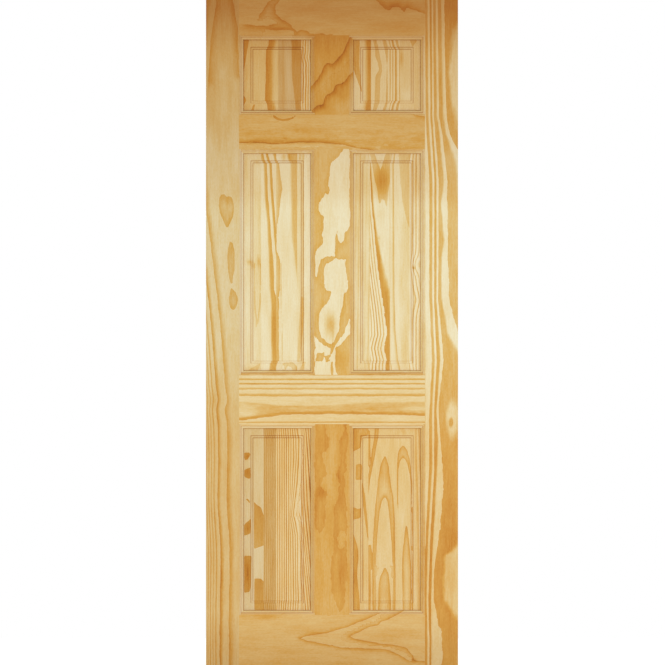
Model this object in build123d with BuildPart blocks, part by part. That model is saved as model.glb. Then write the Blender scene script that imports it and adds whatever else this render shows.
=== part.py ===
from build123d import *
from itertools import accumulate, pairwise
import os

# A six-panel softwood door leaf, built as a joiner builds it: two stiles, four rails and three
# muntins with an ovolo moulding stuck on their inner edges, rails and muntins coped over that
# moulding with stub tenons in the panel grooves, and six raised double-hip panels, each glued up
# from staves and floating in the grooves.
#
# Frame: X runs across the leaf from its hinge edge, Y through its thickness from front to back,
# Z up from the bottom edge. The origin is at the foot of the hinge edge, at mid-thickness.
# All sizes are in millimetres.

# The leaf
DOOR_WIDTH = 762.0
DOOR_HEIGHT = 2032.0
DOOR_THICKNESS = 35.0
EDGE_EASE = 1.0  # radius of the softened outer arrises of the stiles

# Frame members, measured over their moulded edges
STILE_WIDTH = 113.0
MUNTIN_WIDTH = 129.0
TOP_RAIL_WIDTH = 130.0
FRIEZE_RAIL_WIDTH = 130.0
LOCK_RAIL_WIDTH = 175.0
BOTTOM_RAIL_WIDTH = 175.0

# Openings between the moulded edges; the middle one takes the height that is left
UPPER_SIGHT_HEIGHT = 214.0
LOWER_SIGHT_HEIGHT = 551.0

# Moulding on the inner edges: a fillet, a quirk and an ovolo that ends in a small upright lip
STICKING_WIDTH = 13.0
FILLET_WIDTH = 5.0
FILLET_DROP = 1.5
QUIRK_DROP = 1.2
LIP_HEIGHT = 3.5

# Panel groove, and the stub tenons that share it
GROOVE_WIDTH = 9.5
GROOVE_DEPTH = 12.0
TENON_GAP = 1.0

# Raised panels: a tongue in the groove, a long bevel, and a narrow hip with a slope at each side
PANEL_THICKNESS = 19.0
TONGUE_DEPTH = 9.0
TONGUE_CLEARANCE = 0.15
BEVEL_WIDTH = 22.0
OUTER_SLOPE_RISE = 1.0
HIP_WIDTH = 5.0
HIP_RISE = 0.4
INNER_SLOPE_RISE = 1.4
SLOPE_WIDTH = 1.2

# Stave widths of each panel from its left side; a panel of another width shares it in proportion
STAVE_WIDTHS = {
    "upper_left": (114.0, 69.5, 38.0),
    "upper_right": (62.5, 53.0, 35.0, 71.0),
    "middle_left": (62.5, 45.5, 63.5, 50.0),
    "middle_right": (59.5, 59.5, 60.0, 42.5),
    "lower_left": (70.0, 38.0, 113.5),
    "lower_right": (54.5, 86.5, 80.5),
}

# Places worked out from the sizes above
HALF_THICKNESS = DOOR_THICKNESS / 2
TENON_LENGTH = GROOVE_DEPTH - TENON_GAP
SIGHT_WIDTH = (DOOR_WIDTH - 2 * STILE_WIDTH - MUNTIN_WIDTH) / 2
MUNTIN_X = STILE_WIDTH + SIGHT_WIDTH

LOCK_RAIL_Z = BOTTOM_RAIL_WIDTH + LOWER_SIGHT_HEIGHT
MIDDLE_SIGHT_Z = LOCK_RAIL_Z + LOCK_RAIL_WIDTH
TOP_RAIL_Z = DOOR_HEIGHT - TOP_RAIL_WIDTH
UPPER_SIGHT_Z = TOP_RAIL_Z - UPPER_SIGHT_HEIGHT
FRIEZE_RAIL_Z = UPPER_SIGHT_Z - FRIEZE_RAIL_WIDTH
MIDDLE_SIGHT_HEIGHT = FRIEZE_RAIL_Z - MIDDLE_SIGHT_Z

# Left edge of each column of openings, then foot and height of each row
COLUMNS = {"left": STILE_WIDTH, "right": MUNTIN_X + MUNTIN_WIDTH}
ROWS = {
    "upper": (UPPER_SIGHT_Z, UPPER_SIGHT_HEIGHT),
    "middle": (MIDDLE_SIGHT_Z, MIDDLE_SIGHT_HEIGHT),
    "lower": (BOTTOM_RAIL_WIDTH, LOWER_SIGHT_HEIGHT),
}


def edge_waste():
    """Section of the wood that the cutters take off one moulded edge.

    The sight line is at x = 0 with the member on the negative side. The moulding's waste lies at
    the front arris and, mirrored, at the back one, with the panel groove between them.
    """
    face_line = -STICKING_WIDTH
    ledge = HALF_THICKNESS - FILLET_DROP
    crown = ledge - QUIRK_DROP
    lip = GROOVE_WIDTH / 2 + LIP_HEIGHT
    crown_start = (face_line + FILLET_WIDTH, crown)
    with BuildSketch() as waste:
        with BuildLine():
            Polyline(
                (0, lip),
                (0, HALF_THICKNESS),
                (face_line, HALF_THICKNESS),
                (face_line, ledge),
                (face_line + FILLET_WIDTH, ledge),
                crown_start,
            )
            TangentArc(crown_start, (0, lip), tangent=(1, 0))
        make_face()
        mirror(about=Plane.XZ)
        with Locations((-GROOVE_DEPTH / 2, 0)):
            Rectangle(GROOVE_DEPTH, GROOVE_WIDTH)
    return waste.sketch


EDGE_WASTE = edge_waste()


def member_section(width, moulded_low=True, moulded_high=True):
    """Section of a frame member: its width along x from 0, its thickness along y."""
    with BuildSketch() as section:
        with Locations((width / 2, 0)):
            Rectangle(width, DOOR_THICKNESS)
        if moulded_high:
            with Locations((width, 0)):
                add(EDGE_WASTE, mode=Mode.SUBTRACT)
        if moulded_low:
            with Locations(Location((0, 0), 180)):
                add(EDGE_WASTE, mode=Mode.SUBTRACT)
    return section.sketch


def panel_section(length):
    """Section of a raised panel, centred: the same double hip at both ends and on both faces."""
    edge = length / 2
    sight = edge - TONGUE_DEPTH
    outer_slope = sight - BEVEL_WIDTH
    hip = outer_slope - SLOPE_WIDTH
    inner_slope = hip - HIP_WIDTH
    field = inner_slope - SLOPE_WIDTH
    half_tongue = GROOVE_WIDTH / 2 - TONGUE_CLEARANCE
    half_field = PANEL_THICKNESS / 2
    hip_top = half_field - INNER_SLOPE_RISE
    hip_foot = hip_top - HIP_RISE
    bevel_top = hip_foot - OUTER_SLOPE_RISE
    with BuildSketch() as section:
        with BuildLine():
            Polyline(
                (edge, 0),
                (edge, half_tongue),
                (sight, half_tongue),
                (outer_slope, bevel_top),
                (hip, hip_foot),
                (inner_slope, hip_top),
                (field, half_field),
                (0, half_field),
            )
            mirror(about=Plane.XZ)
            mirror(about=Plane.YZ)
        make_face()
    return section.sketch


# Stiles run the full height, moulded and grooved along their inner edge
with BuildPart() as left_stile:
    with BuildSketch(Plane.XY):
        add(member_section(STILE_WIDTH, moulded_low=False))
    extrude(amount=DOOR_HEIGHT)
    fillet(left_stile.edges().filter_by(Axis.Z).group_by(Axis.X)[0], EDGE_EASE)

with BuildPart() as right_stile:
    mirror(left_stile.part, about=Plane.YZ.offset(DOOR_WIDTH / 2))


def coped_member(start, section, half_length, neighbour):
    """A member between two like neighbours, coped over their moulding at both ends.

    Its first half runs from the tenon's end, at the start plane, and the neighbour there is cut
    out of it, which leaves the coped shoulder and the stub tenon. The second half mirrors it.
    """
    with BuildPart() as member:
        with BuildSketch(start):
            add(section)
        extrude(amount=half_length)
        add(neighbour, mode=Mode.SUBTRACT)
        mirror(about=start.offset(half_length))
    return member.part


def make_rail(z_low, section):
    """A rail from groove to groove of the two stiles, its section drawn from its lower edge."""
    x_start = STILE_WIDTH - TENON_LENGTH
    start = Plane((x_start, 0, z_low), x_dir=(0, 0, 1), z_dir=(1, 0, 0))
    return coped_member(start, section, DOOR_WIDTH / 2 - x_start, left_stile.part)


RAILS = {
    "top_rail": make_rail(TOP_RAIL_Z, member_section(TOP_RAIL_WIDTH, moulded_high=False)),
    "frieze_rail": make_rail(FRIEZE_RAIL_Z, member_section(FRIEZE_RAIL_WIDTH)),
    "lock_rail": make_rail(LOCK_RAIL_Z, member_section(LOCK_RAIL_WIDTH)),
    "bottom_rail": make_rail(0, member_section(BOTTOM_RAIL_WIDTH, moulded_low=False)),
}


def make_muntin(row, rail_below):
    """A muntin in the middle of one row, from groove to groove of the rails below and above."""
    sight_z, sight_height = ROWS[row]
    start = Plane((MUNTIN_X, 0, sight_z - TENON_LENGTH))
    section = member_section(MUNTIN_WIDTH)
    return coped_member(start, section, sight_height / 2 + TENON_LENGTH, RAILS[rail_below])


MUNTINS = {
    "upper_muntin": make_muntin("upper", "frieze_rail"),
    "middle_muntin": make_muntin("middle", "lock_rail"),
    "lower_muntin": make_muntin("lower", "bottom_rail"),
}


def make_stave(foot, width, height, left, right):
    """One stave of a raised panel, between two glue lines measured from the panel's left edge.

    The panel's section across is drawn at its foot, trimmed to the stave and run up the height.
    What that shares with the section along the height, run across, has the mitred double hip.
    """
    with BuildPart() as stave:
        with BuildSketch(foot):
            add(panel_section(width))
            with Locations(((left + right - width) / 2, 0)):
                Rectangle(right - left, PANEL_THICKNESS, mode=Mode.INTERSECT)
        extrude(amount=height)
        corner = foot.origin + Vector(-width / 2, 0, height / 2)
        with BuildSketch(Plane(corner, x_dir=(0, 0, 1), z_dir=(1, 0, 0))):
            add(panel_section(height))
        extrude(amount=width, mode=Mode.INTERSECT)
    return stave.part


def make_panel(row, column):
    """The staves of one panel by name, side by side from its left edge."""
    sight_z, sight_height = ROWS[row]
    width = SIGHT_WIDTH + 2 * TONGUE_DEPTH
    height = sight_height + 2 * TONGUE_DEPTH
    foot = Plane((COLUMNS[column] + SIGHT_WIDTH / 2, 0, sight_z - TONGUE_DEPTH))
    stave_widths = STAVE_WIDTHS[f"{row}_{column}"]
    fill = width / sum(stave_widths)
    glue_lines = [x * fill for x in accumulate(stave_widths, initial=0)]
    return {
        f"{row}_{column}_panel_stave_{number}": make_stave(foot, width, height, left, right)
        for number, (left, right) in enumerate(pairwise(glue_lines), start=1)
    }


PANELS = {}
for row in ROWS:
    for column in COLUMNS:
        PANELS.update(make_panel(row, column))

STILES = {"left_stile": left_stile.part, "right_stile": right_stile.part}

os.makedirs("parts", exist_ok=True)
for name, piece in {**STILES, **RAILS, **MUNTINS, **PANELS}.items():
    piece.label = name
    export_step(piece, f"parts/{name}.step")
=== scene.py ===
"""Dresses the six-panel pine door leaf: each board is rebuilt with a growth-ring figure of its own.

Lengths are in millimetres until a mesh is made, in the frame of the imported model: X across the leaf,
Y from its front to its back, Z up.
"""

import logging
from dataclasses import dataclass, field
from enum import Enum
from typing import ClassVar

import bpy
import numpy as np
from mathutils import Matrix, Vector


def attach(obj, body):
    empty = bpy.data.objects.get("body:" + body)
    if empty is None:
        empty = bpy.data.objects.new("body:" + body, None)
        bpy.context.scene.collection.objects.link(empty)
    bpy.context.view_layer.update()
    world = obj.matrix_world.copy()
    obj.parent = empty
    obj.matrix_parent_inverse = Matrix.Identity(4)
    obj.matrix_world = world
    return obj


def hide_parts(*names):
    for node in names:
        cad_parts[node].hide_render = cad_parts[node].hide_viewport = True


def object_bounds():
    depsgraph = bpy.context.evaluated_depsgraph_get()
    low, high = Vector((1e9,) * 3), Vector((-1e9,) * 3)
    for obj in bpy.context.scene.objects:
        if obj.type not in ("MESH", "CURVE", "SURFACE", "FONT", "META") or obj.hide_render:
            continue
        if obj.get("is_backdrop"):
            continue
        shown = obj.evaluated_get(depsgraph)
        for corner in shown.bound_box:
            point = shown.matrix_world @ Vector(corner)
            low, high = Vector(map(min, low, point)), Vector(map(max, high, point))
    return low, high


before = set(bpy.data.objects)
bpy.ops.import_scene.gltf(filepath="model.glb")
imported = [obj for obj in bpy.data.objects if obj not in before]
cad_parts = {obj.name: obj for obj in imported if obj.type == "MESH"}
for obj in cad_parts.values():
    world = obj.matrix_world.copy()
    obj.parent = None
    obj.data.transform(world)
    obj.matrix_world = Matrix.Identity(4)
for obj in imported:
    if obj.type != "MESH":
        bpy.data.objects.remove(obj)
CAD_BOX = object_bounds()

log = logging.getLogger("six_panel_door")

Array = np.ndarray
Path = tuple[tuple[float, float], ...]

MM = 0.001
LEAF_WIDTH = 762.0
LEAF_HEIGHT = 2032.0
HALF_THICKNESS = 17.5
STEP_ACROSS = 4.0
STEP_ALONG = 6.0
FULL = 3000.0  # further than any place on the leaf
VEIN_NEAR = 20.0  # distance from a vein within which its lines are drawn true
RING_WIDTH = 12.0  # of the rings beyond the outermost lines that a board's figure draws
FILLET_LINE = 3  # place of the fillet's outer line in a moulding's section
THIN = 0.001  # a length under this counts as nothing
TURNED = 0.0001  # at a vein's corner, how much a stretch gains by facing a place squarely
CLEAR = 0.05  # a grid line nearer than this to a glue line is left out
CREASE = 0.01  # two lines of a section that differ only at its coped ends stand this far apart


class Grain(Enum):
    """The way a board's grain runs on the leaf."""

    UPRIGHT = "upright"
    LEVEL = "level"


class Slot(Enum):
    """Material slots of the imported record."""

    FRAME = "pine_frame"
    PANEL = "pine_panel"


def linear(hex_colour: str) -> tuple[float, float, float, float]:
    """Turns an sRGB hex colour into linear RGBA.

    Args:
        hex_colour: six hex digits, with or without a leading #.

    Returns:
        Linear red, green and blue, and an alpha of 1.
    """
    value = hex_colour.lstrip("#")
    srgb = np.array([int(value[i:i + 2], 16) for i in (0, 2, 4)]) / 255
    rgb = np.where(srgb <= 0.04045, srgb / 12.92, ((srgb + 0.055) / 1.055) ** 2.4)
    return (*map(float, rgb), 1.0)


def add_node(
    tree: bpy.types.NodeTree, kind: str, settings: str | dict[str, object] = "", *values: object, **inputs: object,
) -> bpy.types.Node:
    """Adds a node, sets its properties and fills or links its inputs.

    Args:
        tree: node tree to add to.
        kind: Blender's name of the node type, without the ShaderNode that all begin with.
        settings: node properties by name, or the operation alone; stops are the places and hex
            colours of a colour ramp.
        values: values, nodes or output sockets for the inputs in their order.
        inputs: the same by input name, or by its place where names repeat.

    Returns:
        The new node.
    """
    node = tree.nodes.new(f"ShaderNode{kind}")
    if isinstance(settings, str):
        settings = {"operation": settings} if settings else {}
    settings = dict(settings)
    for number, (place, colour) in enumerate(settings.pop("stops", ())):
        elements = node.color_ramp.elements
        element = elements[number] if number < 2 else elements.new(place)
        element.position, element.color = place, linear(colour)
    for key, value in settings.items():
        setattr(node, key, value)
    for key, value in [*enumerate(values), *inputs.items()]:
        key = int(key) if str(key).isdigit() else key
        value = value.outputs[0] if isinstance(value, bpy.types.Node) else value
        if isinstance(value, bpy.types.NodeSocket):
            tree.links.new(value, node.inputs[key])
        else:
            node.inputs[key].default_value = value
    return node


@dataclass(frozen=True)
class RingEdge:
    """One line of the figure, along which the ring count has one value.

    Attributes:
        count: ring count on the line; whole numbers are the sharp edges of latewood.
        path: places (along, across) in mm that the line passes, or one across where it is straight.
    """

    count: float
    path: float | Path

    def across(self, along: Array) -> Array:
        """Place of the line across the grain at each place along it."""
        if isinstance(self.path, (int, float)):
            return np.full_like(along, float(self.path))
        places, offsets = np.array(sorted(self.path), dtype=float).T
        return np.interp(along, places, offsets)


@dataclass(frozen=True)
class Swell:
    """A round or long rise, of the ring count where the cut meets a bulge in the log, or of the tone.

    Attributes:
        x, z: its middle.
        reach_x, reach_z: distances at which it has fallen to 1/e.
        height: its height, in rings or in tone.
        lean: degrees that it is turned, anticlockwise from the front.
    """

    x: float
    z: float
    reach_x: float
    reach_z: float
    height: float
    lean: float = 0.0

    def rise(self, x: Array, z: Array) -> Array:
        """A bell: the height times exp of minus the squared distance in reaches."""
        turn = np.radians(self.lean)
        dx, dz = x - self.x, z - self.z
        u = np.cos(turn) * dx + np.sin(turn) * dz
        v = np.cos(turn) * dz - np.sin(turn) * dx
        return self.height * np.exp(-((u / self.reach_x) ** 2) - (v / self.reach_z) ** 2)


@dataclass(frozen=True)
class Bend(Swell):
    """A push of the ring lines across the grain: its height is the push in mm, up or to the right."""


@dataclass(frozen=True)
class Pine:
    """Clear-finished pine: pale earlywood that darkens to amber latewood and stops sharply.

    Attributes:
        late: share of each ring that is latewood.
        soft: share of the latewood over which it darkens.
        jag: raggedness of the ring lines, in rings.
        vary: how much the rings differ in strength.
        low, high: tone of the earlywood and of the latewood, 0 pale to 1 dark amber.
        vein: tone that a vein adds at its line.
        reach: distance from its line in mm over which a vein fades.
        fill: share of its tone that a vein keeps beyond that.
        wave: raggedness of a vein's line in mm.
        tint: colour that weathering lays over the board.
        roughness, ior, specular: gloss of the satin finish.
        relief, bump: depth in mm and strength of the fibres that show through it.
    """

    late: float = 0.5
    soft: float = 1.0
    jag: float = 0.06
    vary: float = 0.35
    low: float = 0.1
    high: float = 0.7
    vein: float = 0.0
    reach: float = 15.0
    fill: float = 0.0
    wave: float = 9.0
    tint: str = "ffffff"
    roughness: float = 0.5
    ior: float = 1.5
    specular: float = 0.22
    relief: float = 0.4
    bump: float = 0.12

    # Cream earlywood through straw and honey to amber and brown resin-rich latewood
    TONES: ClassVar = ((0.0, "f1e6c0"), (0.3, "e6cc8e"), (0.6, "dbab4e"), (0.85, "cb8a22"), (1.0, "ae6a12"))
    # Painted shade: the leaf is drawn darker and warmer towards its head and foot, where the light fell off; height
    # in m and its tint
    AMBER: ClassVar = (
        (0.05, "f6eadc"), (0.17, "faf2e8"), (0.49, "faf2e8"), (0.60, "faf0e0"), (0.70, "f9ecd6"),
        (0.81, "fbf2e2"), (0.96, "ffffff"), (1.39, "ffffff"), (1.44, "f9f2e9"), (1.55, "f5ede6"),
        (1.65, "f0e0ca"), (1.76, "eedcc4"), (1.86, "e9d2b4"), (1.92, "ddbe98"), (2.0, "d0aa80"),
    )
    # Painted shade: the colour laid in the quirks and at the foot of each hip, where shade falls
    POOLED: ClassVar = "c8883f"
    # Noise stretched along the grain: size across and along it in mm, and detail. Pine's fibres are
    # a few hundredths of a millimetre wide, too fine to show, so they are drawn as wider streaks.
    NOISES: ClassVar = {
        "ragged": (7.0, 18.0, 3.0), "wander": (16.0, 48.0, 1.0), "fibre": (1.6, 60.0, 2.0),
        "mottle": (28.0, 140.0, 2.0), "fleck": (3.2, 7.0, 1.0),
    }
    SHIFT: ClassVar = 2.4  # the noise's own swing, so that jag is in rings
    STREAKS: ClassVar = {"fibre": 0.36, "mottle": 0.3, "fleck": 0.2}  # tone that each noise adds
    DRY: ClassVar = 0.2  # roughness that the fibres add
    PROUD: ClassVar = 0.3  # height of the hard latewood, in fibres

    def material(self, name: str, grain: Grain) -> bpy.types.Material:
        """Makes the board's material: rings, veins and shades, broken up by noise along the grain.

        Args:
            name: name of the material.
            grain: the way the fibres run.

        Returns:
            The material.
        """
        material = bpy.data.materials.new(name)
        material.use_nodes = True
        tree = material.node_tree
        tree.nodes.clear()
        place = add_node(tree, "TexCoord").outputs["Object"]
        height = add_node(tree, "SeparateXYZ", Vector=place).outputs["Z"]
        noise = {}
        for key, (wide, long, detail) in self.NOISES.items():
            size = np.array((wide, wide, long) if grain is Grain.UPRIGHT else (long, wide, wide)) * MM
            spot = add_node(tree, "Mapping", {"vector_type": "POINT"}, Vector=place, Scale=1 / size)
            texture = add_node(tree, "TexNoise", Vector=spot, Scale=1.0, Detail=detail)
            noise[key] = add_node(tree, "Math", "SUBTRACT", texture.outputs[0], 0.5)
        value = {
            key: add_node(tree, "Attribute", {"attribute_name": key}).outputs["Fac"]
            for key in ("ring", "vein", "shade", "painted_shade")
        }
        ragged = add_node(tree, "Math", "ADD", noise["ragged"], noise["wander"])

        # Each ring is pale until its latewood begins, and ends at the next whole count
        count = add_node(tree, "Math", "MULTIPLY_ADD", ragged, self.SHIFT * self.jag, value["ring"])
        part = add_node(tree, "Math", "FRACT", count)
        late = add_node(
            tree, "MapRange", {"interpolation_type": "SMOOTHSTEP"}, part, 1 - self.late,
            1 - self.late + self.late * self.soft,
        )
        number = add_node(tree, "Math", "FLOOR", count)
        chance = add_node(tree, "TexWhiteNoise", {"noise_dimensions": "1D"}, W=number).outputs["Value"]
        strength = add_node(tree, "Math", "MULTIPLY_ADD", chance, -self.vary, 1.0)
        strength = add_node(tree, "Math", "MULTIPLY", late, strength)
        tone = add_node(tree, "Math", "MULTIPLY_ADD", strength, self.high - self.low, self.low)

        # A vein starts sharply at its line and fades away from it on its dark side
        gap = add_node(tree, "Math", "MULTIPLY_ADD", ragged, self.wave, value["vein"])
        dark_side = add_node(tree, "Math", "GREATER_THAN", gap, 0.0)
        gap = add_node(tree, "Math", "MAXIMUM", gap, 0.0)
        fade = add_node(tree, "Math", "MULTIPLY", gap, -1 / self.reach)
        fade = add_node(tree, "Math", "EXPONENT", fade)
        fade = add_node(tree, "Math", "MULTIPLY_ADD", fade, 1 - self.fill, self.fill)
        fade = add_node(tree, "Math", "MULTIPLY", fade, dark_side)
        tone = add_node(tree, "Math", "MULTIPLY_ADD", fade, self.vein, tone)

        tone = add_node(tree, "Math", "ADD", tone, value["shade"])
        for key, share in self.STREAKS.items():
            tone = add_node(tree, "Math", "MULTIPLY_ADD", noise[key], share, tone)
        wood = add_node(tree, "ValToRGB", {"stops": self.TONES}, tone)
        # Painted shade by height: darker and warmer towards the head and foot of the leaf
        level = add_node(tree, "Math", "DIVIDE", height, LEAF_HEIGHT * MM)
        tints = tuple((place_z / (LEAF_HEIGHT * MM), tint) for place_z, tint in self.AMBER)
        amber = add_node(tree, "ValToRGB", {"stops": tints}, level)
        # A colour mix takes its share in input 0 and its colours in 6 and 7, and gives output 2
        # Over the wood go the painted shade by height, the board's tint, and the painted shade in the creases
        colour = wood.outputs[0]
        for share, layer in ((1.0, amber), (1.0, linear(self.tint)), (value["painted_shade"], linear(self.POOLED))):
            multiply = {"data_type": "RGBA", "blend_type": "MULTIPLY"}
            colour = add_node(tree, "Mix", multiply, **{"0": share, "6": colour, "7": layer}).outputs[2]

        rough = add_node(tree, "Math", "MULTIPLY_ADD", noise["fibre"], self.DRY, self.roughness)
        relief = add_node(tree, "Math", "MULTIPLY_ADD", late, self.PROUD, noise["fibre"])
        bump = add_node(tree, "Bump", Strength=self.bump, Distance=self.relief * MM, Height=relief)
        shader = add_node(
            tree, "BsdfPrincipled", Roughness=rough, IOR=self.ior, Normal=bump,
            **{"Base Color": colour, "Specular IOR Level": self.specular},
        )
        add_node(tree, "OutputMaterial", Surface=shader)
        return material


@dataclass(frozen=True)
class PineEndGrain:
    """Sawn and finished end of a pine board: darker than its face, with arcs of rings about the pith.

    Attributes:
        pith: place of the pith in mm, to the side of and behind the board.
        ring: width of a ring in mm.
        early, late: colours of the earlywood and of the latewood.
        roughness, ior, specular: gloss, less than on the face, as end grain drinks the finish.
    """

    pith: tuple[float, float] = (380.0, 140.0)
    ring: float = 6.0
    early: str = "d3a866"
    late: str = "a8702f"
    roughness: float = 0.65
    ior: float = 1.5
    specular: float = 0.2

    def material(self, name: str) -> bpy.types.Material:
        """Makes the material: the distance from the pith, counted in rings, drives the colour."""
        material = bpy.data.materials.new(name)
        material.use_nodes = True
        tree = material.node_tree
        tree.nodes.clear()
        place = add_node(tree, "TexCoord").outputs["Object"]
        flat = add_node(tree, "VectorMath", "MULTIPLY", place, (1, 1, 0))
        pith = (self.pith[0] * MM, self.pith[1] * MM, 0)
        radius = add_node(tree, "VectorMath", "DISTANCE", flat, pith).outputs["Value"]
        count = add_node(tree, "Math", "DIVIDE", radius, self.ring * MM)
        part = add_node(tree, "Math", "FRACT", count)
        stops = ((0.0, self.early), (0.5, self.early), (0.95, self.late), (1.0, self.early))
        colour = add_node(tree, "ValToRGB", {"stops": stops}, part)
        shader = add_node(
            tree, "BsdfPrincipled", Roughness=self.roughness, IOR=self.ior,
            **{"Base Color": colour.outputs[0], "Specular IOR Level": self.specular},
        )
        add_node(tree, "OutputMaterial", Surface=shader)
        return material


@dataclass(frozen=True)
class Board:
    """A board's finish, and the growth rings, veins and shades over it.

    The ring count is read off between the lines that the edges draw, after the bends have pushed
    them. Rings go on past an outermost line that has a whole count. To the count are added a climb
    along the grain, a bow that rises with the square of the distance from an axis, and the swells.
    Below the face the lines drift sideways by the dive for each mm. Veins are single lines (x, z)
    that wander over the board, dark on the left of their run. Shades are darker or paler places.
    """

    pine: Pine
    edges: tuple[RingEdge, ...]
    grain: Grain = Grain.UPRIGHT
    climb: float = 0.0
    origin: float = 0.0
    bow: float = 0.0
    axis: float = 0.0
    dive: float = -1.0
    swells: tuple[Swell, ...] = ()
    bends: tuple[Bend, ...] = ()
    veins: tuple[Path, ...] = ()
    shades: tuple[Swell, ...] = ()

    def rings(self, x: Array, z: Array, depth: Array) -> Array:
        """Works out the ring count.

        Args:
            x, z: places on the board in mm.
            depth: distance below its front face in mm.

        Returns:
            The ring count at each place.
        """
        across, along = (x, z) if self.grain is Grain.UPRIGHT else (z, x)
        across = across + self.dive * depth
        for bend in self.bends:
            across = across - bend.rise(x, z)
        lines = [edge.across(along) for edge in self.edges]
        count = np.full_like(across, self.edges[0].count)
        for low, high, edge, following in zip(lines, lines[1:], self.edges, self.edges[1:]):
            share = np.clip((across - low) / np.maximum(high - low, THIN), 0, 1)
            count = count + (following.count - edge.count) * share
        trend = np.sign(self.edges[-1].count - self.edges[0].count) / RING_WIDTH
        if float(self.edges[0].count).is_integer():
            count = count + trend * np.minimum(across - lines[0], 0)
        if float(self.edges[-1].count).is_integer():
            count = count + trend * np.maximum(across - lines[-1], 0)
        count = count + self.climb * (along - self.origin) + self.bow * (across - self.axis) ** 2
        return count + sum(swell.rise(x, z) for swell in self.swells)

    def vein(self, x: Array, z: Array) -> Array:
        """Distance in mm to the nearest vein, positive on its dark side.

        Each place is dropped on to every stretch of a vein, and the nearest stretch gives the
        distance. The side is the sign of the cross product of the stretch and the drop; at a corner
        the stretch that the place faces more squarely decides. Far from its vein the distance is
        stretched with its cube, so that no false line shows where the sides of two veins meet.
        """
        nearest = np.full_like(x, -FULL)
        for path in self.veins:
            points = np.array(path, dtype=float)
            step = np.diff(points, axis=0)
            dx, dz = x[:, None] - points[:-1, 0], z[:, None] - points[:-1, 1]
            share = np.clip((dx * step[:, 0] + dz * step[:, 1]) / (step**2).sum(1), 0, 1)
            gap = np.hypot(dx - share * step[:, 0], dz - share * step[:, 1])
            square = (step[:, 0] * dz - step[:, 1] * dx) / np.hypot(step[:, 0], step[:, 1])
            pick = (gap - TURNED * np.abs(square)).argmin(1)[:, None]
            gap, square = (np.take_along_axis(v, pick, 1)[:, 0] for v in (gap, square))
            nearest = np.where(gap < np.abs(nearest), np.copysign(gap, square), nearest)
        return nearest * (1 + (np.abs(nearest) / VEIN_NEAR) ** 3)

    def fields(self, x: Array, z: Array, depth: Array) -> dict[str, Array]:
        """Ring count, vein distance and shade at each place, by attribute name."""
        shade = np.zeros_like(x) + sum(shade.rise(x, z) for shade in self.shades)
        return {"ring": self.rings(x, z, depth), "vein": self.vein(x, z), "shade": shade}


def lines(*edges: tuple[float, float | Path]) -> tuple[RingEdge, ...]:
    """Ring edges from (count, path) pairs."""
    return tuple(RingEdge(count, path) for count, path in edges)
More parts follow.
